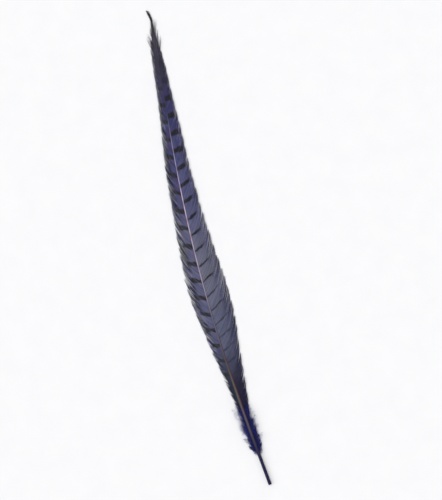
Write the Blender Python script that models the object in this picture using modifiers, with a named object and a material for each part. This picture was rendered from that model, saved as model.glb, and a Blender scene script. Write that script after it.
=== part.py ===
"""A pheasant tail feather, lying face up on a flat surface.

The feather grew as one piece, so it is one solid: a tapering shaft with a vane on each side.
The vanes part into locks, the groups of barbs that hold together and come loose at their ends.
The shaft runs along +Y from the cut end of the quill to the tip, +Z is up, units are metres.
The vanes slope down from the shaft like a low roof and flatten out at their rims. The feather
rests on the end of its quill, on its rims where the vanes are widest, and near its tip.
"""

import math
import random
from bisect import bisect
from functools import lru_cache
from typing import NamedTuple

import bpy
import bmesh
import numpy as np

# Driving dimensions
LENGTH = 0.400
QUILL_RADIUS = 0.00135
QUILL_WALL = 0.00035
HOLLOW_DEPTH = 0.045
VANE_THICKNESS = 0.00045
RIGHT_VANE_WIDTH = 0.0188
LEFT_VANE_WIDTH = 0.0137

# Profiles along the feather. The first number of each pair is the share of the length from
# the cut end (0) to the tip (1), and the second is what the profile's name says.
BOW_MM = ((0, 3.4), (0.16, -3.4), (0.33, -8.6), (0.5, -10.2), (0.68, -7.8), (0.85, -2.6),
          (0.95, 0.3), (0.98, 1.3), (1, -0.3))
VANE_HEIGHT_MM = ((0, 1.6425), (0.085, 1.75), (0.2, 2.7), (0.45, 4.2), (0.7, 2.5), (0.85, 1),
                  (0.92, 0.45), (0.96, 0.25), (1, 0.15))
RIM_HEIGHT_MM = ((0, 0), (0.12, 0.9), (0.3, 0.7), (0.405, 0), (0.445, 0), (0.6, 0.8), (0.82, 0.6),
                 (0.94, 0), (1, 0))
SHAFT_SHARE = ((0, 1), (0.13, 0.96), (0.19, 0.8), (0.26, 0.64), (0.36, 0.5), (0.53, 0.4),
               (0.7, 0.31), (0.85, 0.23), (0.95, 0.2), (1, 0.07))
RIGHT_WIDTH_SHARE = ((0.07, 0.24), (0.1, 0.3), (0.13, 0.24), (0.155, 0.27), (0.19, 0.42),
                     (0.24, 0.6), (0.29, 0.76), (0.335, 0.93), (0.38, 1), (0.43, 1), (0.5, 0.88),
                     (0.58, 0.72), (0.66, 0.6), (0.76, 0.48), (0.82, 0.36), (0.88, 0.285),
                     (0.925, 0.18), (0.945, 0.1), (0.96, 0.05), (1, 0.04))
LEFT_WIDTH_SHARE = ((0.07, 0.3), (0.1, 0.38), (0.13, 0.27), (0.155, 0.26), (0.19, 0.36),
                    (0.24, 0.46), (0.29, 0.63), (0.335, 0.76), (0.38, 0.93), (0.44, 1), (0.5, 0.9),
                    (0.58, 0.78), (0.66, 0.7), (0.76, 0.5), (0.82, 0.42), (0.88, 0.38),
                    (0.925, 0.31), (0.945, 0.18), (0.96, 0.08), (1, 0.05))
ROOT_ANGLE_DEG = ((0.07, 62), (0.14, 56), (0.22, 48), (0.45, 42), (0.7, 35), (0.87, 28), (0.965, 20))
TIP_ANGLE_DEG = ((0.07, 46), (0.14, 34), (0.22, 23), (0.45, 16), (0.7, 14), (0.87, 12), (0.965, 9))

# The grid of each vane: a column is a barb, counted from the quill, and a row is a share of a barb
FIRST_BARB = 0.07
LAST_BARB = 0.94
COLUMN_COUNT = 104
BARB_ROWS = (0, 0.2, 0.4, 0.58, 0.74, 0.88, 1)
FLAT_RIM_FROM = 0.8

# Locks: the columns in one, the row that a split between two starts from, how wide each side of
# a split opens as a share of the space between columns, and how much a lock varies in length
LOCK_COLUMNS = (2, 3, 3, 4)
RIGHT_SPLIT_ROWS = (5, 5, 5, 4, 3)
LEFT_SPLIT_ROWS = (4, 5, 3, 4, 2)
RIGHT_GAP = (0.12, 0.22)
LEFT_GAP = (0.2, 0.34)
LOCK_REACH = (0.97, 1)
LOCK_TIP_TAPER = 0.05
DOWN_ENDS = 0.135
DOWN_SPLIT_ROW = 2
DOWN_GAP = (0.16, 0.28)
DOWN_REACH = (0.75, 1.1)
SEED = {1: 11, -1: 23}

# The shaft is a tube whose centre lies below the vane's upper face by a share of its radius
SHAFT_SINK = 0.55
SHAFT_POINTS = 44
SHAFT_CROWDING = 1.5
SHAFT_SIDES = 12
HOLLOW_POINTS = 6
CUT_OVERRUN = 0.001

WELD_DISTANCE = 5e-6
LENGTH_STEP = 1e-6
SLOPE_STEP = 0.001


class Split(NamedTuple):
    row: int
    gap: float


class Lock(NamedTuple):
    """A lock from its first to its last column, with the splits below and above it."""
    first: int
    last: int
    below: Split
    above: Split
    reach: float


def smooth_curve(pairs):
    """A function for the value at a share of the length, on a smooth curve through the pairs."""
    x, y = np.array(pairs, float).T.tolist()
    slopes = np.gradient(y, x).tolist()

    def value(at):
        at = min(max(at, x[0]), x[-1])
        k = min(bisect(x, at), len(x) - 1) - 1
        span = x[k + 1] - x[k]
        u = (at - x[k]) / span
        ends = y[k] * (1 + 2 * u) * (1 - u) ** 2 + y[k + 1] * u ** 2 * (3 - 2 * u)
        return ends + span * u * (1 - u) * (slopes[k] * (1 - u) - slopes[k + 1] * u)

    return value


def straight_runs(pairs):
    """A function for the value at a share of the length, on straight runs between the pairs."""
    x, y = np.array(pairs, float).T.tolist()

    def value(at):
        at = min(max(at, x[0]), x[-1])
        k = min(bisect(x, at), len(x) - 1) - 1
        return y[k] + (y[k + 1] - y[k]) * (at - x[k]) / (x[k + 1] - x[k])

    return value


BOW = smooth_curve(BOW_MM)
HEIGHT = smooth_curve(VANE_HEIGHT_MM)
RIM_HEIGHT = straight_runs(RIM_HEIGHT_MM)
THICKNESS_OF_SHAFT = straight_runs(SHAFT_SHARE)
WIDTH = {1: smooth_curve(RIGHT_WIDTH_SHARE), -1: smooth_curve(LEFT_WIDTH_SHARE)}
WIDEST = {1: RIGHT_VANE_WIDTH, -1: LEFT_VANE_WIDTH}
ROOT_ANGLE = straight_runs(ROOT_ANGLE_DEG)
TIP_ANGLE = straight_runs(TIP_ANGLE_DEG)


def shaft_radius(y):
    return QUILL_RADIUS * THICKNESS_OF_SHAFT(y / LENGTH)


def vane_height(y):
    """The height of the vane's underside above its rim where it meets the shaft."""
    return HEIGHT(y / LENGTH) / 1000


def rim_height(y):
    """The height of the rims above the surface. They touch it only where the vanes are widest
    and near the tip."""
    return RIM_HEIGHT(y / LENGTH) / 1000


def shaft_centre(y):
    """The shaft's centre at y: it bows to the left, and stands out above the vane as a low ridge."""
    top = rim_height(y) + vane_height(y) + VANE_THICKNESS
    return BOW(y / LENGTH) / 1000, y, top - SHAFT_SINK * shaft_radius(y)


def vane_width(side, y):
    """The width of one vane, square to the shaft. side is 1 for the right vane, -1 for the left."""
    return WIDEST[side] * WIDTH[side](y / LENGTH)


def column_root(column):
    """Where a column's barb leaves the shaft."""
    return LENGTH * (FIRST_BARB + (LAST_BARB - FIRST_BARB) * column / COLUMN_COUNT)


def barb_reach(root, share):
    """(sideways, along, angle) of a barb of length 1 at a share of it. A barb leaves the shaft
    at its root angle and bends towards the feather's tip, to its tip angle."""
    start = math.radians(ROOT_ANGLE(root / LENGTH))
    turn = math.radians(TIP_ANGLE(root / LENGTH)) - start
    angle = start + turn * share
    return (math.cos(start) - math.cos(angle)) / turn, (math.sin(angle) - math.sin(start)) / turn, angle


@lru_cache(maxsize=None)
def barb_length(side, column):
    """The length at which a column's end meets the rim of its vane, found by halving."""
    root = column_root(column)
    sideways, along, _ = barb_reach(root, 1)
    shortest = 0
    longest = LENGTH
    while longest - shortest > LENGTH_STEP:
        length = (shortest + longest) / 2
        if length * sideways < vane_width(side, min(root + length * along, LENGTH)):
            shortest = length
        else:
            longest = length
    return shortest


def make_locks(side):
    """The locks of one vane, from the quill to the tip."""
    chance = random.Random(SEED[side])
    rows = RIGHT_SPLIT_ROWS if side > 0 else LEFT_SPLIT_ROWS
    gaps = RIGHT_GAP if side > 0 else LEFT_GAP
    locks = []
    first = 0
    below = Split(len(BARB_ROWS) - 1, 0)
    while first < COLUMN_COUNT:
        if column_root(first) < LENGTH * DOWN_ENDS:
            last = first + 1
            above = Split(DOWN_SPLIT_ROW, chance.uniform(*DOWN_GAP))
            reach = chance.uniform(*DOWN_REACH)
        else:
            last = min(first + chance.choice(LOCK_COLUMNS), COLUMN_COUNT)
            above = Split(chance.choice(rows), chance.uniform(*gaps))
            reach = chance.uniform(*LOCK_REACH)
        locks.append(Lock(first, last, below, above, reach))
        first = last
        below = above
    return locks


def opening(split, share):
    """How far one side of a split has opened at a share of the barb, from 0 where it starts."""
    start = BARB_ROWS[split.row]
    return split.gap * max(0, share - start) / (1 - start) if start < 1 else 0


def vane_point(side, column, share, lock):
    """A point of a vane's underside, at a share of one column of a lock."""
    root = column_root(column)
    across = (column - lock.first) / (lock.last - lock.first)
    length = barb_length(side, column) * lock.reach * (1 - LOCK_TIP_TAPER * (2 * across - 1) ** 2)
    sideways, along, angle = barb_reach(root, share)
    parting = (1 - across) * opening(lock.below, share) - across * opening(lock.above, share)
    parting *= (column_root(1) - column_root(0)) * math.sin(angle)
    out = length * sideways - parting * math.cos(angle)
    y = min(root + length * along + parting * math.sin(angle), LENGTH)
    x = shaft_centre(y)[0]
    ahead = min(y + SLOPE_STEP, LENGTH)
    behind = y - SLOPE_STEP
    lean = math.atan2(shaft_centre(ahead)[0] - shaft_centre(behind)[0], ahead - behind)
    fall = min(out / vane_width(side, y) / FLAT_RIM_FROM, 1)
    height = rim_height(y) + vane_height(y) * (1 + math.cos(math.pi * fall)) / 2
    return x + side * out * math.cos(lean), y - side * out * math.sin(lean), height


def collection_named(name):
    collection = bpy.data.collections.new(name)
    bpy.context.scene.collection.children.link(collection)
    return collection


def make_vanes(collection):
    """Both vanes as one sheet: a flat grid of columns and rows is split between the locks and
    bent to the feather's form. Solidify then thickens it upwards."""
    side_rows = len(BARB_ROWS) - 1
    sheet = bmesh.new()
    bmesh.ops.create_grid(sheet, x_segments=2 * side_rows, y_segments=COLUMN_COUNT, size=0.5)
    for vertex in sheet.verts:
        vertex.co.x = round(vertex.co.x * 2 * side_rows)
        vertex.co.y = round((vertex.co.y + 0.5) * COLUMN_COUNT)
    locks = {side: make_locks(side) for side in (1, -1)}
    split_rows = {(side, lock.last): lock.above.row for side in (1, -1) for lock in locks[side]}
    torn = []
    for edge in sheet.edges:
        (row_a, column_a, _), (row_b, column_b, _) = (vertex.co for vertex in edge.verts)
        split_row = split_rows.get((1 if row_a + row_b > 0 else -1, column_a), side_rows)
        if column_a == column_b and min(abs(row_a), abs(row_b)) >= split_row:
            torn.append(edge)
    bmesh.ops.split_edges(sheet, edges=torn)
    points = []
    for vertex in sheet.verts:
        side = 1 if vertex.co.x > 0 else -1
        middle = np.mean([face.calc_center_median().y for face in vertex.link_faces])
        lock = next(lock for lock in locks[side] if lock.last > middle)
        share = BARB_ROWS[abs(round(vertex.co.x))]
        points.append(vane_point(side, vertex.co.y, share, lock))
    for vertex, point in zip(sheet.verts, points):
        vertex.co = point
    for face in sheet.faces:
        face.smooth = True
    mesh = bpy.data.meshes.new("vanes")
    sheet.to_mesh(mesh)
    sheet.free()
    vanes = bpy.data.objects.new("vanes", mesh)
    collection.objects.link(vanes)
    solidify = vanes.modifiers.new("thickness", "SOLIDIFY")
    solidify.thickness = VANE_THICKNESS
    solidify.offset = 1
    return vanes


def make_tube(name, places, radii, collection):
    """A tube along points of the shaft's line, as a closed mesh that a Boolean can join or cut."""
    line = bpy.data.curves.new(name, "CURVE")
    line.dimensions = "3D"
    line.bevel_depth = 1
    line.bevel_resolution = SHAFT_SIDES // 2 - 2
    line.use_fill_caps = True
    spline = line.splines.new("POLY")
    spline.points.add(len(places) - 1)
    for point, place, radius in zip(spline.points, places, radii):
        point.co = (*place, 1)
        point.radius = radius
    guide = bpy.data.objects.new(name + "_line", line)
    collection.objects.link(guide)
    bpy.context.view_layer.update()
    mesh = bpy.data.meshes.new_from_object(guide.evaluated_get(bpy.context.evaluated_depsgraph_get()))
    tube = bpy.data.objects.new(name, mesh)
    tube.matrix_world = guide.matrix_world
    collection.objects.link(tube)
    bpy.data.objects.remove(guide)
    bpy.data.curves.remove(line)
    solid = bmesh.new()
    solid.from_mesh(mesh)
    bmesh.ops.remove_doubles(solid, verts=solid.verts, dist=WELD_DISTANCE)
    bmesh.ops.recalc_face_normals(solid, faces=solid.faces)
    solid.to_mesh(mesh)
    solid.free()
    mesh.shade_smooth()
    mesh.set_sharp_from_angle(angle=math.radians(40))
    return tube


def make_shaft(collection):
    """The shaft, from the quill's cut end to the tip, with its points closer together at the tip."""
    shares = 1 - np.linspace(1, 0, SHAFT_POINTS) ** SHAFT_CROWDING
    heights = [LENGTH * share for share in shares.tolist()]
    return make_tube("feather", [shaft_centre(y) for y in heights], [shaft_radius(y) for y in heights],
                     collection)


def make_hollow(collection):
    """The hollow inside the quill, open at the cut end and narrowing to a point inside the shaft."""
    shares = np.linspace(0, 1, HOLLOW_POINTS).tolist()
    places = [shaft_centre(HOLLOW_DEPTH * share) for share in shares]
    radii = [(shaft_radius(place[1]) - QUILL_WALL) * (1 - share ** 4 * 0.7)
             for place, share in zip(places, shares)]
    x, _, z = shaft_centre(0)
    next_x, next_y, next_z = places[1]
    run = -CUT_OVERRUN / next_y
    places[0] = (x + (next_x - x) * run, -CUT_OVERRUN, z + (next_z - z) * run)
    return make_tube("quill_hollow", places, radii, collection)


def add_boolean(obj, operation, other):
    """Joins the other object to obj, or cuts it out of it. The other object is then only a guide."""
    boolean = obj.modifiers.new(other.name, "BOOLEAN")
    boolean.operation = operation
    boolean.solver = "EXACT"
    boolean.object = other
    other.hide_render = True
    other.display_type = "WIRE"


def feather_material():
    """Barred blue-violet vane, matt with a soft sheen."""
    material = bpy.data.materials.new("feather_keratin")
    material.use_nodes = True
    shader = material.node_tree.nodes["Principled BSDF"]
    shader.inputs["Base Color"].default_value = (0.085, 0.08, 0.16, 1)
    shader.inputs["Roughness"].default_value = 0.6
    shader.inputs["Metallic"].default_value = 0
    return material


def stand_on_origin(obj, guides):
    """Moves the feather and its guides so that the origin is the middle of its box's base."""
    bpy.context.view_layer.update()
    corners = np.array(obj.evaluated_get(bpy.context.evaluated_depsgraph_get()).bound_box)
    low = corners.min(axis=0)
    high = corners.max(axis=0)
    for each in (obj, *guides):
        each.location = (-(low[0] + high[0]) / 2, -(low[1] + high[1]) / 2, -low[2])


def main():
    for obj in list(bpy.data.objects):
        bpy.data.objects.remove(obj)
    parts = collection_named("pheasant_feather")
    guides = collection_named("joined_and_cut")
    feather = make_shaft(parts)
    vanes = make_vanes(guides)
    hollow = make_hollow(guides)
    add_boolean(feather, "UNION", vanes)
    add_boolean(feather, "DIFFERENCE", hollow)
    weld = feather.modifiers.new("weld", "WELD")
    weld.merge_threshold = WELD_DISTANCE
    feather.data.materials.append(feather_material())
    stand_on_origin(feather, (vanes, hollow))


main()
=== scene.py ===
"""A pheasant tail feather, dyed blue-violet, lying face up on a pale surface.

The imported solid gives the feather's place and form. Here its vanes become barbs, its foot becomes
down, and its shaft gets its groove and its hollow. Lengths are metres unless a name says mm.
"""

import math
import random

import bmesh
import bpy
import numpy as np
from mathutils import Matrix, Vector


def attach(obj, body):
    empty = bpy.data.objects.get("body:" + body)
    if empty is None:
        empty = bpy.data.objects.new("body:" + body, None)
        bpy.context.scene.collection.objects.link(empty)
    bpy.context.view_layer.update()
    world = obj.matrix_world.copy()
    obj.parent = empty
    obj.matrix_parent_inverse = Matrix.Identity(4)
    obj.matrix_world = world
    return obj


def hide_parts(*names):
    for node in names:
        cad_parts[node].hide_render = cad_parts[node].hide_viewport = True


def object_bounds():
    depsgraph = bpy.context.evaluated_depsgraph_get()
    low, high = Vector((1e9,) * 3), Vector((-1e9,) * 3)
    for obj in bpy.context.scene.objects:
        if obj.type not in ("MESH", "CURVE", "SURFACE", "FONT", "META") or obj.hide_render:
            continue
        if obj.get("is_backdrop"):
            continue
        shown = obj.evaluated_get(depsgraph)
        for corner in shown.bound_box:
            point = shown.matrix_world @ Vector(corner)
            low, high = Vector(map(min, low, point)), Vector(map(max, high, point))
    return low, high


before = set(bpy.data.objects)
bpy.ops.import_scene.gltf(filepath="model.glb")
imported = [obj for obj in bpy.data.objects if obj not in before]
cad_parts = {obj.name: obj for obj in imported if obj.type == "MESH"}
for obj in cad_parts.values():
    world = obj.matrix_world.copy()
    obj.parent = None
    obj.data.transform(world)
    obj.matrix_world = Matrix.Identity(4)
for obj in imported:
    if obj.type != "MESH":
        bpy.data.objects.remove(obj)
bounds_at_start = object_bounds()

# The feather's form, as it was driven in the solid. The first number of each pair is the share of
# the length from the cut end (0) to the tip (1).
RIGHT, LEFT = 1, -1
LENGTH = 0.400
QUILL_RADIUS = 0.00135
QUILL_WALL = 0.00035
HOLLOW_DEPTH = 0.045
VANE_THICKNESS = 0.00045
WIDEST = {RIGHT: 0.0188, LEFT: 0.0137}
BOW_MM = ((0, 3.4), (0.16, -3.4), (0.33, -8.6), (0.5, -10.2), (0.68, -7.8), (0.85, -2.6),
          (0.95, 0.3), (0.98, 1.3), (1, -0.3))
VANE_HEIGHT_MM = ((0, 1.6425), (0.085, 1.75), (0.2, 2.7), (0.45, 4.2), (0.7, 2.5), (0.85, 1),
                  (0.92, 0.45), (0.96, 0.25), (1, 0.15))
RIM_HEIGHT_MM = ((0, 0), (0.12, 0.9), (0.3, 0.7), (0.405, 0), (0.445, 0), (0.6, 0.8), (0.82, 0.6),
                 (0.94, 0), (1, 0))
SHAFT_SHARE = ((0, 1), (0.13, 0.96), (0.19, 0.8), (0.26, 0.64), (0.36, 0.5), (0.53, 0.4),
               (0.7, 0.31), (0.85, 0.23), (0.95, 0.2), (1, 0.07))
RIGHT_WIDTH_SHARE = ((0.07, 0.24), (0.1, 0.3), (0.13, 0.24), (0.155, 0.27), (0.19, 0.42),
                     (0.24, 0.6), (0.29, 0.76), (0.335, 0.93), (0.38, 1), (0.43, 1), (0.5, 0.88),
                     (0.58, 0.72), (0.66, 0.6), (0.76, 0.48), (0.82, 0.36), (0.88, 0.285),
                     (0.925, 0.18), (0.945, 0.1), (0.96, 0.05), (1, 0.04))
LEFT_WIDTH_SHARE = ((0.07, 0.3), (0.1, 0.38), (0.13, 0.27), (0.155, 0.26), (0.19, 0.36),
                    (0.24, 0.46), (0.29, 0.63), (0.335, 0.76), (0.38, 0.93), (0.44, 1), (0.5, 0.9),
                    (0.58, 0.78), (0.66, 0.7), (0.76, 0.5), (0.82, 0.42), (0.88, 0.38),
                    (0.925, 0.31), (0.945, 0.18), (0.96, 0.08), (1, 0.05))
ROOT_ANGLE_DEG = ((0.07, 62), (0.14, 56), (0.22, 48), (0.45, 42), (0.7, 35), (0.87, 28), (0.965, 20))
TIP_ANGLE_DEG = ((0.07, 46), (0.14, 34), (0.22, 23), (0.45, 16), (0.7, 14), (0.87, 12), (0.965, 9))
FIRST_BARB = 0.07
LAST_BARB = 0.94
COLUMN_COUNT = 104
BARB_ROWS = (0, 0.2, 0.4, 0.58, 0.74, 0.88, 1)
FLAT_RIM_FROM = 0.8
LOCK_COLUMNS = (2, 3, 3, 4)
SPLIT_ROWS = {RIGHT: (5, 5, 5, 4, 3), LEFT: (4, 5, 3, 4, 2)}
LOCK_GAP = {RIGHT: (0.12, 0.22), LEFT: (0.2, 0.34)}
LOCK_REACH = (0.97, 1)
LOCK_TIP_TAPER = 0.05
DOWN_ENDS = 0.135
DOWN_SPLIT_ROW = 2
DOWN_GAP = (0.16, 0.28)
DOWN_REACH = (0.75, 1.1)
SEED = {RIGHT: 11, LEFT: 23}
SHAFT_SINK = 0.55
SLOPE_STEP = 0.001
HALVINGS = 24
TINY = 1e-9

# The barbs of both vanes. The left vane's are looser. A share of a barb runs from 0 at the shaft
# to 1 at the rim.
BARBS_TO_A_SIDE = 900
BARB_RINGS = 16
BARB_OVERLAP = 1.6
BARB_HEIGHT = 0.00017
BARB_END_HEIGHT_SHARE = 0.5
BARB_TILT = 0.25
BARB_TAPERS_FROM = 0.92
BARB_END_TAPER = 0.6
USUAL_LENGTH_SHARE = 1.012
UNEVEN_LENGTH_SHARE = {RIGHT: 0.0134, LEFT: 0.02}
LONGEST_LENGTH_SHARE = 1.03
WORN_FROM, WORN_FULLY = 0.84, 0.93
MOST_WEAR = 0.22
BARBS_THAT_CLING = (3, 9)
CLING = {RIGHT: (0.1, 0.635), LEFT: (0.1, 0.8)}
CLINGS_FROM = {RIGHT: 0.4325, LEFT: 0.35}
SWAY = {RIGHT: 0.000054, LEFT: 0.00012}
DOWNY_SWAY = 0.0002
DOWNY_UP_TO, DOWNY_NO_MORE = 0.1, 0.17
SWAY_TURNS = (0.6, 1.6)
SWAYS_FROM, SWAYS_FULLY = 0.15, 0.9
GROUP_LIFT = 0.00009
LOCK_CURL = 0.0002
LIFTS_FROM = 0.3
LIFT_LIMITS = (-0.0001, 0.0003)
ROD_SPACING = 4

# The shaft, with its groove below and the narrowing of its hollow
SHAFT_RINGS = 150
SHAFT_CORNERS = 20
GROOVE_FROM, GROOVE_FULL = 0.12, 0.2
GROOVE_HALF_ANGLE = 0.45
GROOVE_DEPTH_SHARE = 0.4
HOLLOW_STEPS = (0.1, 0.3, 0.55, 0.8, 0.94, 1)
HOLLOW_NARROWING = 0.7
SHARP_EDGE_DEG = 50

# The down at the foot of the vanes. Its barbs are shorter where they begin, near the quill.
DOWN_SEED = 7
DOWN_BARBS = 150
DOWN_RINGS = 16
DOWN_FROM, DOWN_TO = 0.066, 0.155
DOWN_FULL_LENGTH_FROM = 0.09
DOWN_FIRST_LENGTH_SHARE = 0.6
DOWN_LENGTH = 0.009
DOWN_LENGTH_SHARE = (0.6, 1.15)
DOWN_START_DEG = (48, 78)
DOWN_CURL_DEG = (10, 50)
DOWN_WAVE = 0.0004
DOWN_WAVE_TURNS = (0.8, 1.8)
DOWN_RISE = (-0.0009, 0.0006)
DOWN_DROOP = 0.0004
DOWN_LOWEST = 0.0003
DOWN_HALF_WIDTH = 0.00006
FILAMENTS_TO_A_BARB = 58
FILAMENTS_ALONG_BARB = (0.06, 0.99)
FILAMENT_RINGS = 7
FILAMENT_LENGTH = (0.0012, 0.0026)
FILAMENT_BEND = (0.2, 0.9)
FILAMENT_DROP = 0.35
FILAMENT_RADIUS = 0.000026
FILAMENT_LOWEST = 0.0001

# The frayed end: strands of barbs that stand apart, and after them barbs that cling to the shaft
TIP_SEED = 5
TIP_BARBS = 160
TIP_BARBS_TO_A_STRAND = 16
TIP_RINGS = 16
TIP_FROM, TIP_ROOM = 0.882, 0.098
TIP_CROWDING = 0.8
TIP_CLINGS_FROM, TIP_CLINGS_FULLY = 0.915, 0.95
TIP_BARB_LENGTH = 0.023
TIP_LENGTH_SHARE = (0.6, 1)
TIP_UNEVEN_LENGTH_SHARE = 0.05
TIP_CLINGING_SHORTER = 0.35
TIP_APART_DEG = (13, 29)
TIP_CLINGING_APART_DEG = (2, 7)
TIP_UNEVEN_APART_DEG = 1
TIP_BEND_DEG = (2, 14)
TIP_CLINGING_BEND_DEG = (0, 6)
TIP_UNEVEN_BEND_DEG = 1.5
TIP_RISE = (-0.0002, 0.0004)
TIP_LOWEST = 0.0002
TIP_HALF_WIDTH = 0.00017
TIP_HALF_HEIGHT = 0.0001

# The dark bars. A bar's number, counted from the tip down, is a cubic of its share of the length.
BAR_CUBIC = {RIGHT: (29.411, -50.495, 28.882, -11.944), LEFT: (21.165, -44.915, 30.414, -16.946)}
BAR_SPACING_MM = {RIGHT: 13.6, LEFT: 14.2}

# Colours, as sRGB numbers up to 255. Where there are pairs, the first of each is a place, such as
# the share of the length.
RIGHT_DYE = ((0.08, (10, 12, 50)), (0.2, (48, 45, 70)), (0.33, (102, 106, 132)), (0.46, (120, 121, 144)),
             (0.62, (95, 96, 137)), (0.8, (64, 61, 106)), (0.88, (57, 54, 70)), (0.93, (76, 71, 84)),
             (0.98, (54, 51, 56)))
LEFT_DYE = ((0.08, (8, 10, 58)), (0.2, (34, 43, 60)), (0.35, (84, 86, 116)), (0.48, (92, 92, 120)),
            (0.66, (64, 60, 99)), (0.8, (57, 52, 90)), (0.88, (59, 54, 72)), (0.93, (74, 69, 86)),
            (0.98, (50, 48, 54)))
LEFT_RIM = ((0.1, (30, 34, 68)), (0.4, (56, 58, 74)), (0.6, (92, 93, 88)), (0.85, (110, 108, 132)))
# The shaft's top: its own tone along it, and in its pale lavender middle partly a painted highlight
SHAFT_TOP_AND_HIGHLIGHT = ((0.05, (13, 12, 58)), (0.16, (82, 75, 84)), (0.21, (86, 79, 70)), (0.27, (74, 67, 73)),
             (0.34, (92, 88, 106)), (0.5, (176, 165, 182)), (0.6, (198, 180, 204)), (0.68, (154, 149, 184)),
             (0.8, (47, 46, 72)), (0.95, (48, 45, 53)))
# Painted shade on the round sides of the shaft, darker than its top
SHAFT_FLANK_SHADE = ((0.06, (9, 9, 38)), (0.16, (34, 28, 46)), (0.3, (52, 42, 54)), (0.5, (66, 52, 78)),
               (0.8, (38, 34, 52)))
PALE_GREY = (112, 114, 116)
VIOLET = (62, 58, 112)
SLATE_BLUE = (52, 68, 116)
# The lilac and the dusk are partly painted highlight and painted shade on the locks near the rim
LILAC_AND_HIGHLIGHT = (128, 124, 170)
DUSK_AND_SHADE = (38, 38, 66)
RIM_BROWN = (52, 48, 58)
RIM_GREY = (84, 80, 112)
RIM_NAVY = (36, 40, 66)
BAR_BLACK = (26, 30, 33)
BAR_BROWN = (46, 42, 44)
SEAM_SHADE = (22, 22, 40)
BARB_SHADE = (22, 22, 38)
BARB_LIGHT = (158, 156, 190)
FOOT_NAVY = (8, 10, 34)
ROSE = (124, 66, 92)
PLUM = (44, 34, 60)
# Painted shade on the shaft's right flank
RED_BROWN_SHADE = (88, 40, 48)
# Painted blue glints on the quill
INK_BLUE_GLINT = (30, 34, 120)
DOWN_DARK = (16, 18, 76)
DOWN_BLUE = (34, 42, 172)
FLOOR_GREY = (234, 234, 236)
FLOOR_WHITE = (240, 240, 241)

# The photograph: where the tip and the cut end are in its pixels, its size, and one pixel in metres
PHOTO_TIP = np.array((147, 10))
PHOTO_CUT_END = np.array((266, 485))
PHOTO_SIZE = np.array((442, 500))
PIXEL = 0.0008168

# The camera, the floor and the light
LENS_MM = 80
SENSOR_MM = 36
NEAREST_SEEN = 0.01
FLOOR_HALF_SIZE = 12
ROOM_LIGHT = 0.62


def smooth_curve(pairs):
    """A function for the value at a share of the length, on a smooth curve through the pairs."""
    x, y = np.array(pairs, float).T
    slopes = np.gradient(y, x)

    def value(at):
        at = np.clip(at, x[0], x[-1])
        k = np.clip(np.searchsorted(x, at, side="right"), 1, len(x) - 1) - 1
        span = x[k + 1] - x[k]
        u = (at - x[k]) / span
        ends = y[k] * (1 + 2 * u) * (1 - u) ** 2 + y[k + 1] * u ** 2 * (3 - 2 * u)
        return ends + span * u * (1 - u) * (slopes[k] * (1 - u) - slopes[k + 1] * u)

    return value


def straight_runs(pairs):
    """A function for the value at a share of the length, on straight runs between the pairs."""
    x, y = np.array(pairs, float).T
    return lambda at: np.interp(at, x, y)


BOW = smooth_curve(BOW_MM)
HEIGHT = smooth_curve(VANE_HEIGHT_MM)
RIM_HEIGHT = straight_runs(RIM_HEIGHT_MM)
THICKNESS_OF_SHAFT = straight_runs(SHAFT_SHARE)
WIDTH = {RIGHT: smooth_curve(RIGHT_WIDTH_SHARE), LEFT: smooth_curve(LEFT_WIDTH_SHARE)}
ROOT_ANGLE = straight_runs(ROOT_ANGLE_DEG)
TIP_ANGLE = straight_runs(TIP_ANGLE_DEG)


def place_of_frame():
    """What moves the profiles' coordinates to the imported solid's: the middle of its cut end."""
    points = np.array([vertex.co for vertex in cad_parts["feather"].data.vertices])
    end_slice = 0.0004
    cut_end = points[points[:, 1] < points[:, 1].min() + end_slice].mean(axis=0)
    return np.array((cut_end[0] - BOW(0) / 1000, cut_end[1], 0))


SHIFT = place_of_frame()


def ramp(value, low, high):
    """0 below low, 1 above high, smooth between them."""
    u = np.clip((value - low) / (high - low), 0, 1)
    return u * u * (3 - 2 * u)


def shaft_radius(y):
    return QUILL_RADIUS * THICKNESS_OF_SHAFT(y / LENGTH)


def shaft_centre(y):
    t = y / LENGTH
    z = (RIM_HEIGHT(t) + HEIGHT(t)) / 1000 + VANE_THICKNESS - SHAFT_SINK * shaft_radius(y)
    return np.stack(np.broadcast_arrays(BOW(t) / 1000, y, z), -1)


def vane_width(side, y):
    return WIDEST[side] * WIDTH[side](y / LENGTH)


def column_root(column):
    """Where on the shaft a barb starts, from its column in the solid's vane."""
    return LENGTH * (FIRST_BARB + (LAST_BARB - FIRST_BARB) * column / COLUMN_COUNT)


def barb_reach(root, share):
    """(sideways, along, angle) of a barb of length 1 at a share of it."""
    start = np.radians(ROOT_ANGLE(root / LENGTH))
    turn = np.radians(TIP_ANGLE(root / LENGTH)) - start
    angle = start + turn * share
    return (np.cos(start) - np.cos(angle)) / turn, (np.sin(angle) - np.sin(start)) / turn, angle


def barb_length(side, root):
    """The length at which a barb's end meets the rim of its vane, found by halving."""
    sideways, along, _ = barb_reach(root, 1)
    shortest = np.zeros_like(root)
    longest = np.full_like(root, LENGTH)
    for _ in range(HALVINGS):
        length = (shortest + longest) / 2
        inside = length * sideways < vane_width(side, np.minimum(root + length * along, LENGTH))
        shortest = np.where(inside, length, shortest)
        longest = np.where(inside, longest, length)
    return shortest


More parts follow.
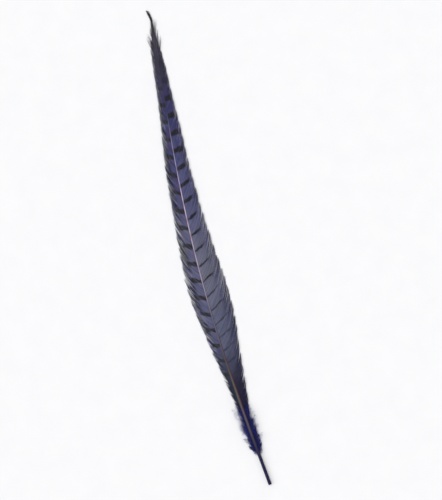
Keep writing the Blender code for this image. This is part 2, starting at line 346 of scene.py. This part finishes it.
def make_locks(side):
    """The locks of one vane as rows of (first, last, start and gap of the splits below and above,
    reach), from the quill to the tip."""
    chance = random.Random(SEED[side])
    locks = []
    first = 0
    below = (1, 0)
    while first < COLUMN_COUNT:
        if column_root(first) < LENGTH * DOWN_ENDS:
            last = first + 1
            above = (BARB_ROWS[DOWN_SPLIT_ROW], chance.uniform(*DOWN_GAP))
            reach = chance.uniform(*DOWN_REACH)
        else:
            last = min(first + chance.choice(LOCK_COLUMNS), COLUMN_COUNT)
            above = (BARB_ROWS[chance.choice(SPLIT_ROWS[side])], chance.uniform(*LOCK_GAP[side]))
            reach = chance.uniform(*LOCK_REACH)
        locks.append((first, last, *below, *above, reach))
        first = last
        below = above
    return np.array(locks)


def vane_surface(side, out, y):
    """(x, y, z) of the middle of the vane's thickness, at a distance out from the shaft."""
    x = BOW(y / LENGTH) / 1000
    lean = np.arctan2((BOW((y + SLOPE_STEP) / LENGTH) - BOW((y - SLOPE_STEP) / LENGTH)) / 1000,
                      2 * SLOPE_STEP)
    fall = np.minimum(out / vane_width(side, y) / FLAT_RIM_FROM, 1)
    height = (RIM_HEIGHT(y / LENGTH) + HEIGHT(y / LENGTH) * (1 + np.cos(np.pi * fall)) / 2) / 1000
    return np.stack((x + side * out * np.cos(lean), y - side * out * np.sin(lean),
                     height + VANE_THICKNESS / 2), -1)


def comb(count, rings, corners):
    """Straight rods, ROD_SPACING apart along x, each with its rings at z = 0, 1, 2 and so on."""
    work = bmesh.new()
    bmesh.ops.create_cone(work, cap_ends=True, segments=corners, radius1=1, radius2=1, depth=rings - 1)
    bmesh.ops.translate(work, verts=work.verts, vec=(0, 0, (rings - 1) / 2))
    upright = [edge for edge in work.edges if abs(edge.verts[0].co.z - edge.verts[1].co.z) > 0.5]
    bmesh.ops.subdivide_edges(work, edges=upright, cuts=rings - 2)
    made = 1
    while made < count:
        more = min(made, count - made)
        copied = [vertex for vertex in work.verts if vertex.co.x < ROD_SPACING * (more - 0.5)]
        chosen = set(copied)
        copied += [edge for edge in work.edges if chosen.issuperset(edge.verts)]
        copied += [face for face in work.faces if chosen.issuperset(face.verts)]
        new = bmesh.ops.duplicate(work, geom=copied)["geom"]
        fresh = [item for item in new if isinstance(item, bmesh.types.BMVert)]
        bmesh.ops.translate(work, verts=fresh, vec=(ROD_SPACING * made, 0, 0))
        made += more
    return work


def rods(name, centres, half_widths, half_heights, tilt=0, corners=4):
    """One mesh of rods along the centres (rod, ring, xyz), and the rod and ring of each vertex."""
    count, rings = centres.shape[:2]
    work = comb(count, rings, corners)
    mesh = bpy.data.meshes.new(name)
    work.to_mesh(mesh)
    work.free()
    x, y, z = mesh_points(mesh).T
    rod = np.rint(x / ROD_SPACING).astype(int)
    ring = np.rint(z).astype(int)
    across = x - ROD_SPACING * rod
    ahead = np.gradient(centres, axis=1)
    ahead /= np.linalg.norm(ahead, axis=2, keepdims=True)
    beside = np.cross(ahead, (0, 0, 1))
    beside /= np.linalg.norm(beside, axis=2, keepdims=True)
    above = np.cross(beside, ahead)
    leaned = beside * math.cos(tilt) + above * math.sin(tilt)
    wide = np.broadcast_to(half_widths, (count, rings))[rod, ring, None] * across[:, None]
    high = np.broadcast_to(half_heights, (count, rings))[rod, ring, None] * y[:, None]
    points = centres[rod, ring] + wide * leaned[rod, ring] + high * above[rod, ring]
    mesh.vertices.foreach_set("co", (points + SHIFT).ravel())
    mesh.shade_smooth()
    return mesh, rod, ring


def mesh_points(mesh):
    points = np.empty(len(mesh.vertices) * 3)
    mesh.vertices.foreach_get("co", points)
    return points.reshape(-1, 3)


def add_uv(mesh, name, u, v):
    """A UV map from a value of u and v for each vertex."""
    corner = np.empty(len(mesh.loops), int)
    mesh.loops.foreach_get("vertex_index", corner)
    layer = mesh.uv_layers.new(name=name)
    layer.data.foreach_set("uv", np.stack((u[corner], v[corner]), -1).astype(np.float32).ravel())


def add_flat_uv(mesh, x, y):
    """The map that the dye is kept on: the feather seen from above, spread over 0.01 to 0.99."""
    spread = [0.01 + 0.98 * (values - values.min()) / np.ptp(values) for values in (x, y)]
    add_uv(mesh, "OFBake", *spread)


def add_piece(name, mesh, material):
    mesh.materials.append(material)
    piece = bpy.data.objects.new(name, mesh)
    bpy.context.scene.collection.objects.link(piece)
    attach(piece, "root")
    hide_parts("feather")


def barb_groups(chance):
    """The group of each barb, for the small groups that cling together inside a lock."""
    smallest, largest = BARBS_THAT_CLING
    sizes = chance.integers(smallest, largest + 1, BARBS_TO_A_SIDE)
    return np.repeat(np.arange(BARBS_TO_A_SIDE), sizes)[:BARBS_TO_A_SIDE]


def opened(share, start, gap):
    """How far a split is open at a share of a barb, in columns: it widens steadily to the rim."""
    return gap * np.clip((share - start) / (1 - start + TINY), 0, 1)


def make_vane(side, name, material):
    """One vane: its barbs, torn between the same locks as the solid's."""
    chance = np.random.default_rng(SEED[side])
    column = ((np.arange(BARBS_TO_A_SIDE) + 0.5) * COLUMN_COUNT / BARBS_TO_A_SIDE)[:, None]
    root = column_root(column)
    share = np.linspace(0, 1, BARB_RINGS)[None]
    locks = make_locks(side)
    index = np.searchsorted(locks[:, 1], column[:, 0], side="right")
    first, last, start_below, gap_below, start_above, gap_above, reach = locks[index].T[..., None]
    across = (column - first) / (last - first)

    # a barb's length, with chance and wear
    length = barb_length(side, root) * reach * (1 - LOCK_TIP_TAPER * (2 * across - 1) ** 2)
    uneven = USUAL_LENGTH_SHARE + chance.normal(0, UNEVEN_LENGTH_SHARE[side], root.shape)
    length = length * np.minimum(uneven, LONGEST_LENGTH_SHARE)
    group = barb_groups(chance)
    groups = group.max() + 1
    wear = chance.uniform(0, MOST_WEAR, groups)[group][:, None]
    length = length * (1 - ramp(root / LENGTH, WORN_FROM, WORN_FULLY) * wear)

    # how far a barb stands from its even place: split from the next lock, drawn to its group, swaying
    sideways, along, angle = barb_reach(root, share)
    parting = (1 - across) * opened(share, start_below, gap_below)
    parting = parting - across * opened(share, start_above, gap_above)
    group_middle = np.array([column[group == k].mean() for k in range(groups)])[group][:, None]
    cling = chance.uniform(*CLING[side], groups)[group][:, None]
    parting = parting + (group_middle - column) * cling * ramp(share, CLINGS_FROM[side], 1)
    parting *= (column_root(1) - column_root(0)) * np.sin(angle)
    downy = 1 - ramp(root / LENGTH, DOWNY_UP_TO, DOWNY_NO_MORE)
    sway = chance.normal(0, SWAY[side] + DOWNY_SWAY * downy, root.shape)
    turns = chance.uniform(*SWAY_TURNS, root.shape)
    parting = parting + sway * np.sin(turns * math.tau * share) * ramp(share, SWAYS_FROM, SWAYS_FULLY)

    out = length * sideways - parting * np.cos(angle)
    y = np.minimum(root + length * along + parting * np.sin(angle), LENGTH)
    centres = vane_surface(side, out, y)
    lift = chance.normal(0, GROUP_LIFT, groups)[group][:, None]
    curl = chance.normal(0, LOCK_CURL, len(locks))[index][:, None] * (2 * across - 1)
    centres[..., 2] += np.clip((lift + curl) * ramp(share, LIFTS_FROM, 1), *LIFT_LIMITS)
    space = LENGTH * (LAST_BARB - FIRST_BARB) / BARBS_TO_A_SIDE
    taper = 1 - BARB_END_TAPER * ramp(share, BARB_TAPERS_FROM, 1)
    half_width = BARB_OVERLAP * space * np.sin(angle) / 2 * taper
    half_height = BARB_HEIGHT / 2 * (1 - (1 - BARB_END_HEIGHT_SHARE) * share)
    mesh, rod, ring = rods(name, centres, half_width, half_height, BARB_TILT)

    out = out[rod, ring]
    y = y[rod, ring]
    add_flat_uv(mesh, out, y)
    add_uv(mesh, "place", out * 1000, y / LENGTH)
    add_uv(mesh, "strand", root[rod, 0] / LENGTH, share[0, ring])
    add_uv(mesh, "edge", out / vane_width(side, y), chance.random(BARBS_TO_A_SIDE)[rod])
    add_uv(mesh, "lock", across[rod, 0], chance.random(groups)[group[rod]])
    add_piece(name, mesh, material)


def add_shaft_uv(work, around, t):
    """A map of the tube laid open, just inside the map's edges: once around the tube across it, and
    the length up it. A face that crosses the seam below the shaft stays whole."""
    bake = work.loops.layers.uv.new("OFBake")
    for face in work.faces:
        at = np.array([around[loop.vert.index] for loop in face.loops])
        if np.ptp(at) > 0.5:
            at = np.where(at < 0.5, at + 1, at)
        for loop, u in zip(face.loops, at):
            loop[bake].uv = (0.005 + 0.98 * min(u, 1.005), 0.005 + 0.99 * t[loop.vert.index])


def hollow_quill(work):
    """Leaves a wall at the cut end and takes the hollow in step by step, narrower at its bottom."""
    cut = min(work.faces, key=lambda face: face.calc_center_median().y)
    bmesh.ops.inset_region(work, faces=[cut], thickness=QUILL_WALL, use_even_offset=True)
    bore = shaft_radius(0) - QUILL_WALL
    for share in HOLLOW_STEPS:
        cut = bmesh.ops.extrude_discrete_faces(work, faces=[cut])["faces"][0]
        middle = Vector(shaft_centre(HOLLOW_DEPTH * share) + SHIFT)
        before = cut.calc_center_median()
        reach = max((vertex.co - before).length for vertex in cut.verts)
        scale = bore * (1 - share ** 4 * HOLLOW_NARROWING) / reach
        for vertex in cut.verts:
            vertex.co = middle + (vertex.co - before) * scale


def make_shaft(material):
    """The shaft: a tapering tube with a groove below and a hollow quill, cut square."""
    y = LENGTH * np.linspace(0, 1, SHAFT_RINGS)
    radius = shaft_radius(y)[None]
    mesh, _, ring = rods("shaft", shaft_centre(y)[None], radius, radius, corners=SHAFT_CORNERS)
    t = y[ring] / LENGTH
    centre = shaft_centre(y)[ring] + SHIFT
    offset = mesh_points(mesh) - centre
    turn = np.arctan2(offset[:, 0], offset[:, 2])
    groove = ramp(t, GROOVE_FROM, GROOVE_FULL) * np.exp(-((np.pi - abs(turn)) / GROOVE_HALF_ANGLE) ** 2)
    points = centre + offset * (1 - GROOVE_DEPTH_SHARE * groove)[:, None]
    mesh.vertices.foreach_set("co", points.ravel())
    work = bmesh.new()
    work.from_mesh(mesh)
    add_shaft_uv(work, turn / math.tau + 0.5, t)
    hollow_quill(work)
    bmesh.ops.recalc_face_normals(work, faces=work.faces)
    work.to_mesh(mesh)
    work.free()
    mesh.shade_smooth()
    mesh.set_sharp_from_angle(angle=math.radians(SHARP_EDGE_DEG))
    add_piece("shaft", mesh, material)


def down_barb_paths(chance, side):
    """The middle lines of the down's barbs, soft and curling, and each one's share of the length."""
    each = (DOWN_BARBS, 1)
    t = np.sort(chance.uniform(DOWN_FROM, DOWN_TO, DOWN_BARBS))[:, None]
    share = np.linspace(0, 1, DOWN_RINGS)[None]
    grown = ramp(t, DOWN_FROM, DOWN_FULL_LENGTH_FROM)
    full = DOWN_FIRST_LENGTH_SHARE + (1 - DOWN_FIRST_LENGTH_SHARE) * grown
    length = DOWN_LENGTH * full * chance.uniform(*DOWN_LENGTH_SHARE, each)
    start = np.radians(chance.uniform(*DOWN_START_DEG, each))
    angle = start - np.radians(chance.uniform(*DOWN_CURL_DEG, each)) * share
    wave = chance.normal(0, DOWN_WAVE, each)
    turns = chance.uniform(*DOWN_WAVE_TURNS, each) * share + chance.random(each)
    wave = wave * np.sin(math.tau * turns)
    wave -= wave[:, :1]
    out = length * share * np.sin(angle) + wave * np.cos(angle)
    y = t * LENGTH + length * share * np.cos(angle) + wave * np.sin(angle)
    x, _, z = np.moveaxis(shaft_centre(y), -1, 0)
    rise = (chance.uniform(*DOWN_RISE, each) - DOWN_DROOP) * share
    return np.stack((x + side * out, y, np.maximum(z + rise, DOWN_LOWEST)), -1), t


def filament_paths(chance, barbs):
    """The middle lines of the fine filaments on both sides of the barbs, and the barb of each."""
    owner = np.repeat(np.arange(DOWN_BARBS), FILAMENTS_TO_A_BARB)
    each = (len(owner), 1, 1)
    at = np.tile(np.linspace(*FILAMENTS_ALONG_BARB, FILAMENTS_TO_A_BARB), DOWN_BARBS)
    at *= DOWN_RINGS - 1
    low = np.minimum(at.astype(int), DOWN_RINGS - 2)
    part = (at - low)[:, None]
    foot = barbs[owner, low] * (1 - part) + barbs[owner, low + 1] * part
    ahead = barbs[owner, low + 1] - barbs[owner, low]
    ahead /= np.linalg.norm(ahead, axis=1, keepdims=True)
    hand = np.where(np.arange(len(owner)) % 2, 1, -1)[:, None]
    beside = np.stack((ahead[:, 1], -ahead[:, 0], np.zeros(len(owner))), -1) * hand
    share = np.linspace(0, 1, FILAMENT_RINGS)[None, :, None]
    shorter = (1.1 - 0.5 * at / (DOWN_RINGS - 1))[:, None, None]
    length = chance.uniform(*FILAMENT_LENGTH, each) * shorter
    bend = chance.uniform(*FILAMENT_BEND, each)
    drop = chance.normal(0, FILAMENT_DROP, each)
    path = foot[:, None] + length * (share * beside[:, None] * (1 - 0.3 * share * bend)
                                     + share ** 1.5 * bend * ahead[:, None])
    path[..., 2:] += length * drop * share * share
    path[..., 2] = np.maximum(path[..., 2], FILAMENT_LOWEST)
    return path, owner


def add_down_piece(name, material, paths, half_width, t, corners=4):
    mesh, rod, ring = rods(name, paths, half_width, half_width, corners=corners)
    add_flat_uv(mesh, *paths[rod, ring, :2].T)
    add_uv(mesh, "strand", t[rod, 0], ring / (paths.shape[1] - 1))
    add_piece(name, mesh, material)


def make_down(material):
    """The downy foot of both vanes: soft curling barbs, each with fine filaments on both sides."""
    chance = np.random.default_rng(DOWN_SEED)
    side = np.where(np.arange(DOWN_BARBS) % 2, RIGHT, LEFT)[:, None]
    barbs, t = down_barb_paths(chance, side)
    thin_end = 1.2 - np.linspace(0, 1, DOWN_RINGS)
    add_down_piece("down_barbs", material, barbs, DOWN_HALF_WIDTH * thin_end, t)
    filaments, owner = filament_paths(chance, barbs)
    for name, wanted in (("down_filaments_right", RIGHT), ("down_filaments_left", LEFT)):
        chosen = side[owner, 0] == wanted
        add_down_piece(name, material, filaments[chosen], FILAMENT_RADIUS, t[owner[chosen]], corners=3)


def make_tip(material):
    """The frayed end: dark barbs in strands that stand apart, then some that cling to the shaft."""
    chance = np.random.default_rng(TIP_SEED)
    each = (TIP_BARBS, 1)
    number = np.arange(TIP_BARBS)
    side = np.where(number % 2, RIGHT, LEFT)[:, None]
    strand = number // TIP_BARBS_TO_A_STRAND * 2 + number % 2

    def by_strand(limits, uneven):
        """A value by chance for each strand, slightly uneven among its barbs."""
        values = chance.uniform(*limits, strand.max() + 1)
        return values[strand][:, None] + chance.normal(0, uneven, each)

    t = (TIP_FROM + TIP_ROOM * np.linspace(0, 1, TIP_BARBS) ** TIP_CROWDING)[:, None]
    clings = ramp(t, TIP_CLINGS_FROM, TIP_CLINGS_FULLY)
    share = np.linspace(0, 1, TIP_RINGS)[None]
    length = by_strand(TIP_LENGTH_SHARE, TIP_UNEVEN_LENGTH_SHARE)
    length = TIP_BARB_LENGTH * length * (1 - TIP_CLINGING_SHORTER * clings)
    apart = by_strand(TIP_APART_DEG, TIP_UNEVEN_APART_DEG) * (1 - clings)
    apart = apart + chance.uniform(*TIP_CLINGING_APART_DEG, each) * clings
    bend = by_strand(TIP_BEND_DEG, TIP_UNEVEN_BEND_DEG) * (1 - clings)
    bend = bend + chance.uniform(*TIP_CLINGING_BEND_DEG, each) * clings
    angle = np.radians(apart) - np.radians(bend) * share
    sideways = np.cumsum(np.sin(angle), axis=1) * length / TIP_RINGS
    along = np.cumsum(np.cos(angle), axis=1) * length / TIP_RINGS
    sideways -= sideways[:, :1]
    along -= along[:, :1]
    y = np.minimum(t * LENGTH + along, LENGTH * (0.999 - 0.002 * chance.random(each)))
    x, _, z = np.moveaxis(shaft_centre(y), -1, 0)
    z = np.maximum(z + chance.uniform(*TIP_RISE, each) * share, TIP_LOWEST)
    centres = np.stack((x + side * sideways, y, z), -1)
    thin_end = 1.1 - share
    mesh, rod, ring = rods("tip_barbs", centres, TIP_HALF_WIDTH * thin_end, TIP_HALF_HEIGHT * thin_end)
    add_flat_uv(mesh, *centres[rod, ring, :2].T)
    add_uv(mesh, "place", sideways[rod, ring] * 1000, y[rod, ring] / LENGTH)
    add_uv(mesh, "strand", t[rod, 0], share[0, ring])
    add_uv(mesh, "edge", share[0, ring], chance.random(TIP_BARBS)[rod])
    add_uv(mesh, "lock", np.full(len(rod), 0.5), chance.random(TIP_BARBS)[rod])
    add_piece("tip_barbs", mesh, material)


class Term:
    """An output of a material's nodes that can stand in a sum, a product or a comparison."""

    def __init__(self, paint, socket):
        self.paint = paint
        self.socket = socket

    def math(self, operation, *values):
        return self.paint.node("ShaderNodeMath", {"operation": operation}, values)

    def __add__(self, other):
        return self.math("ADD", self, other)

    def __radd__(self, other):
        return self.math("ADD", other, self)

    def __sub__(self, other):
        return self.math("SUBTRACT", self, other)

    def __rsub__(self, other):
        return self.math("SUBTRACT", other, self)

    def __mul__(self, other):
        return self.math("MULTIPLY", self, other)

    def __rmul__(self, other):
        return self.math("MULTIPLY", other, self)

    def __truediv__(self, other):
        return self.math("DIVIDE", self, other)

    def __rtruediv__(self, other):
        return self.math("DIVIDE", other, self)

    def __abs__(self):
        return self.math("ABSOLUTE", self)

    def __round__(self):
        return self.math("ROUND", self)

    def ramp(self, low, high, start=0, end=1):
        """start below low, end above high, smooth between them."""
        return self.paint.node("ShaderNodeMapRange", {"interpolation_type": "SMOOTHSTEP"},
                               (self, low, high, start, end))


class Paint:
    """A material and its nodes."""

    def __init__(self, name):
        self.material = bpy.data.materials.new(name)
        self.material.use_nodes = True
        self.tree = self.material.node_tree
        self.shader = self.tree.nodes["Principled BSDF"]

    def node(self, kind, settings=None, inputs=(), output=0):
        """The output of a new node, with its settings and its inputs by place or by name."""
        node = self.tree.nodes.new(kind)
        for key, value in (settings or {}).items():
            setattr(node, key, value)
        pairs = inputs.items() if isinstance(inputs, dict) else enumerate(inputs)
        for key, value in pairs:
            self.join(value, node.inputs[key])
        return Term(self, node.outputs[output])

    def join(self, value, socket):
        if isinstance(value, Term):
            self.tree.links.new(value.socket, socket)
        else:
            socket.default_value = value

    def uv(self, name):
        """Both numbers of a UV map."""
        flat = self.node("ShaderNodeUVMap", {"uv_map": name})
        across = self.node("ShaderNodeSeparateXYZ", {}, (flat,))
        return across, Term(self, across.socket.node.outputs["Y"])

    def vector(self, x, y):
        return self.node("ShaderNodeCombineXYZ", {}, (x, y))

    def place(self):
        """Object coordinates."""
        return self.node("ShaderNodeTexCoord", {}, (), "Object")

    def noise(self, vector, scale, detail, roughness=0.5):
        """Noise from 0 to 1 about 0.5."""
        return self.node("ShaderNodeTexNoise", {},
                         {"Vector": vector, "Scale": scale, "Detail": detail, "Roughness": roughness})

    def mix(self, first, second, share):
        """A colour between two, by share. Colours are given as sRGB numbers up to 255."""
        factor, first_colour, second_colour, result = 0, 6, 7, 2
        return self.node("ShaderNodeMix", {"data_type": "RGBA"},
                         {factor: share, first_colour: tone(first), second_colour: tone(second)}, result)

    def stops(self, at, pairs):
        """A colour that runs smoothly through the pairs of place and colour."""
        colour = pairs[0][1]
        for (low, _), (high, after) in zip(pairs, pairs[1:]):
            colour = self.mix(colour, after, at.ramp(low, high))
        return colour

    def bump(self, height, distance, strength):
        return self.node("ShaderNodeBump", {},
                         {"Height": height, "Distance": distance, "Strength": strength})

    def set(self, **inputs):
        """Sets sockets of the shader, named with _ for each space, and gives the material."""
        for key, value in inputs.items():
            self.join(value, self.shader.inputs[key.replace("_", " ")])
        return self.material


def tone(colour):
    """A colour socket's value from sRGB numbers up to 255, or a term as it is."""
    if isinstance(colour, Term):
        return colour
    share = np.array(colour) / 255
    return (*np.where(share < 0.04045, share / 12.92, ((share + 0.055) / 1.055) ** 2.4).tolist(), 1)


def bar_distance(side, at, wander=0):
    """The distance in mm from the middle line of the nearest bar."""
    start, fall, bend, twist = BAR_CUBIC[side]
    number = start + at * (fall + at * (bend + at * twist)) + wander
    return abs(number - round(number)) * BAR_SPACING_MM[side]


def dark_bars(side, along, out, edge, grain, wander):
    """How much of a bar's dark colour each place of a vane has, from 0 to 1. The right bars are
    thin low down and reach far, and the left ones are thick and stop at the streaked rim."""
    if side == RIGHT:
        slope = along.ramp(0.62, 0.8, 0.56, 0.15) * along.ramp(0.28, 0.42, 0.66, 1)
    else:
        slope = along.ramp(0.6, 0.85, 0.42, 0.2) * along.ramp(0.26, 0.4, 0.6, 1)
    # a bar rises outwards, so its place on the shaft is found back down its slope
    at = along - out * slope / (LENGTH * 1000)
    distance = bar_distance(side, at, wander)
    if side == RIGHT:
        half_mm = at.ramp(0.42, 0.8, 0.75, 2) * edge.ramp(0, 0.4, 0.75, 1.15)
        reach = at.ramp(0.45, 0.75, 0.62, 0.9) + at.ramp(0.42, 0.34, 0, 0.16)
        shown = (edge - reach).ramp(-0.25, 0.12, 1, 0) * along.ramp(0.2, 0.28)
        shown = shown * along.ramp(0.3, 0.44, 0.6, 1)
    else:
        half_mm = 1.75 + (grain - 0.5) * 0.5
        reach = at.ramp(0.4, 0.75, 0.6, 0.8) + at.ramp(0.42, 0.34, 0, 0.12)
        shown = (edge - reach).ramp(-0.05, 0.08, 1, 0) * along.ramp(0.18, 0.25)
    return (distance - half_mm).ramp(-0.4, 0.5, 1, 0) * shown * along.ramp(0.81, 0.88, 1, 0.15)


def vane_material(side):
    """Dyed barbs: a grey-violet vane with dark bars, bluer above, dusky and streaked at its rim."""
    paint = Paint("barbs_right" if side == RIGHT else "barbs_left")
    out, along = paint.uv("place")
    root, share = paint.uv("strand")
    edge, luck = paint.uv("edge")
    across, clump = paint.uv("lock")
    grain = paint.noise(paint.place(), 1100, 3, 0.6)
    cloud = paint.noise(paint.place(), 150, 3, 0.55)
    streak = paint.noise(paint.vector(root * 700, share * 2), 1, 2, 0.65)
    pale = along.ramp(0.18, 0.36) * along.ramp(0.9, 0.76)
    upper = along.ramp(0.55, 0.68) * along.ramp(0.9, 0.8)

    # the dye, clouded
    colour = paint.stops(along, RIGHT_DYE if side == RIGHT else LEFT_DYE)
    colour = paint.mix(colour, PALE_GREY, cloud.ramp(0.5, 0.8) * along.ramp(0.7, 0.5) * pale * 0.35)
    colour = paint.mix(colour, VIOLET, cloud.ramp(0.5, 0.22) * 0.4)
    colour = paint.mix(colour, SLATE_BLUE, cloud.ramp(0.5, 0.68) * upper * 0.6)
    # towards the rim some groups of barbs are lighter and some darker: painted highlight and painted shade
    # where locks lie at different slants, together with tone that differs at random
    rimward = edge.ramp(0.3, 0.85)
    colour = paint.mix(colour, LILAC_AND_HIGHLIGHT, clump.ramp(0.72, 0.95) * rimward * pale * 0.6)
    colour = paint.mix(colour, DUSK_AND_SHADE, clump.ramp(0.42, 0.1) * rimward * 0.66)
    if side == RIGHT:
        rim = (edge + (streak - 0.5) * 0.25).ramp(0.72, 0.94)
        colour = paint.mix(colour, paint.mix(RIM_BROWN, RIM_GREY, clump), rim * 0.75)
        colour = paint.mix(colour, RIM_NAVY, edge.ramp(0.45, 0.8) * along.ramp(0.46, 0.28) * 0.5)
    else:
        rim = (edge + (streak - 0.5) * 0.2).ramp(0.4, 0.62)
        colour = paint.mix(colour, paint.stops(clump, LEFT_RIM), rim * pale * 0.85)

    wander = (cloud - 0.5) * 0.16 + (grain - 0.5) * 0.09 + (clump - 0.5) * 0.07
    bar = dark_bars(side, along, out, edge, grain, wander)
    colour = paint.mix(colour, paint.mix(BAR_BLACK, BAR_BROWN, grain), bar * 0.95)
    # the edge of a lock is in shade, and each barb has a shade of its own
    seam = abs(across - 0.5).ramp(0.36, 0.5) * share.ramp(0.45, 0.85)
    colour = paint.mix(colour, SEAM_SHADE, seam * 0.6)
    colour = paint.mix(colour, BARB_SHADE, luck.ramp(0.55, 1) * 0.34)
    colour = paint.mix(colour, BARB_LIGHT, luck.ramp(0.28, 0) * pale * 0.16)
    colour = paint.mix(colour, FOOT_NAVY, along.ramp(0.28, 0.1) * 0.5)
    ribs = paint.node("ShaderNodeTexWave", {"bands_direction": "Y"},
                      {"Vector": paint.vector(0, share), "Scale": 24, "Distortion": 1})
    return paint.set(Base_Color=colour, Roughness=grain.ramp(0.2, 0.8, 0.46, 0.66),
                     Normal=paint.bump(ribs, 0.00003, 0.5), Sheen_Weight=0.02, Sheen_Roughness=0.4,
                     Specular_IOR_Level=0.12)


def shaft_material():
    """Satin keratin: pale violet in the middle, olive-brown lower down, navy at the quill, and dark
    again towards the tip. The pale middle is partly a painted highlight along the top, the sides
    carry painted shade, and the quill has painted blue glints."""
    paint = Paint("keratin_shaft")
    around, along = paint.uv("OFBake")
    grain = paint.noise(paint.vector(around * 30, along * 50), 1, 3, 0.6)
    glint = paint.noise(paint.vector(around * 12, along * 160), 1, 1)
    ridge = abs(around - 0.5)
    # the shaft's own tone along it; the pale lavender of its middle is partly a painted highlight on the
    # top
    colour = paint.stops(along, SHAFT_TOP_AND_HIGHLIGHT)
    # each bar of the vane tints the shaft where it crosses it
    ring = bar_distance(RIGHT, along).ramp(1.2, 3.2, 1, 0)
    colour = paint.mix(colour, ROSE, ring * along.ramp(0.4, 0.52, 0.05, 0.45) * along.ramp(0.8, 0.7))
    colour = paint.mix(colour, PLUM, grain.ramp(0.5, 0.8) * 0.4)
    # the sides of the round shaft are darkened as painted shade, so the top stands out as a lit ridge
    colour = paint.mix(colour, paint.stops(along, SHAFT_FLANK_SHADE), ridge.ramp(0.06, 0.17) * 0.85)
    # low down, a dark red line of painted shade runs along the shaded right flank
    line = (around - 0.5).ramp(0.04, 0.1) * ridge.ramp(0.22, 0.15)
    colour = paint.mix(colour, RED_BROWN_SHADE, line * along.ramp(0.34, 0.27) * along.ramp(0.13, 0.18) * 0.7)
    # blue glints painted on the quill, as painted highlights
    colour = paint.mix(colour, INK_BLUE_GLINT, glint.ramp(0.5, 0.8) * along.ramp(0.03, 0.13, 0.5, 0))
    return paint.set(Base_Color=colour, Roughness=grain.ramp(0.2, 0.8, 0.3, 0.46),
                     Normal=paint.bump(grain, 0.00005, 0.4), Coat_Weight=0.04, Coat_Roughness=0.25,
                     Specular_IOR_Level=0.2)


def down_material():
    """Soft down, dyed a deep royal blue, darker near the shaft."""
    paint = Paint("down_blue")
    _, share = paint.uv("strand")
    cloud = paint.noise(paint.place(), 260, 3)
    colour = paint.mix(DOWN_DARK, DOWN_BLUE, share.ramp(0.1, 1) * cloud.ramp(0.3, 0.7, 0.3, 1))
    return paint.set(Base_Color=colour, Roughness=cloud.ramp(0.2, 0.8, 0.6, 0.8), Sheen_Weight=0.1,
                     Specular_IOR_Level=0.15)


def floor_material():
    """A pale matt surface with a very faint grain."""
    paint = Paint("pale_floor")
    colour = paint.mix(FLOOR_GREY, FLOOR_WHITE, paint.noise(paint.place(), 60, 4))
    return paint.set(Base_Color=colour, Roughness=0.85, Specular_IOR_Level=0.2)


def make_floor(material):
    mesh = bpy.data.meshes.new("floor")
    work = bmesh.new()
    bmesh.ops.create_grid(work, x_segments=1, y_segments=1, size=FLOOR_HALF_SIZE)
    work.to_mesh(mesh)
    work.free()
    mesh.materials.append(material)
    floor = bpy.data.objects.new("floor", mesh)
    bpy.context.scene.collection.objects.link(floor)
    floor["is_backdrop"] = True


def add_light(name, place, softness_deg, strength):
    """An even light from a direction, as from a wide lamp far away."""
    light = bpy.data.lights.new(name, "SUN")
    light.angle = math.radians(softness_deg)
    light.energy = strength
    lamp = bpy.data.objects.new(name, light)
    lamp.location = place
    lamp.rotation_euler = (-Vector(place)).to_track_quat("-Z", "Y").to_euler()
    bpy.context.scene.collection.objects.link(lamp)


def light_scene():
    add_light("soft_overhead", (-0.35, 0.5, 1.5), 45, 1.3)
    add_light("soft_side", (-1.1, 0.1, 0.75), 30, 0.75)
    world = bpy.data.worlds.new("soft_room")
    world.use_nodes = True
    background = world.node_tree.nodes["Background"]
    background.inputs["Color"].default_value = (1, 1, 1, 1)
    background.inputs["Strength"].default_value = ROOM_LIGHT
    bpy.context.scene.world = world
    bpy.context.scene.view_settings.view_transform = "Standard"


def add_camera():
    """Straight above, turned and framed as the photograph is."""
    down_photo = PHOTO_CUT_END - PHOTO_TIP
    down_photo = down_photo / np.linalg.norm(down_photo)
    across_photo = np.array((down_photo[1], -down_photo[0]))
    middle = PHOTO_SIZE / 2 - PHOTO_TIP
    x = middle @ across_photo * PIXEL
    y = LENGTH - middle @ down_photo * PIXEL
    height = PHOTO_SIZE.max() * PIXEL * LENS_MM / SENSOR_MM
    lens = bpy.data.cameras.new("camera")
    lens.lens = LENS_MM
    lens.sensor_width = SENSOR_MM
    lens.clip_start = NEAREST_SEEN
    camera = bpy.data.objects.new("camera", lens)
    camera.location = Vector(SHIFT) + Vector((x, y, height))
    camera.rotation_euler = (0, 0, math.atan2(-down_photo[0], down_photo[1]))
    bpy.context.scene.collection.objects.link(camera)
    bpy.context.scene.camera = camera


right_dye = vane_material(RIGHT)
make_vane(RIGHT, "right_barbs", right_dye)
make_vane(LEFT, "left_barbs", vane_material(LEFT))
make_shaft(shaft_material())
make_down(down_material())
make_tip(right_dye)
make_floor(floor_material())
light_scene()
add_camera()

({"at_start": [list(corner) for corner in bounds_at_start],
           "at_end": [list(corner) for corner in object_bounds()]})
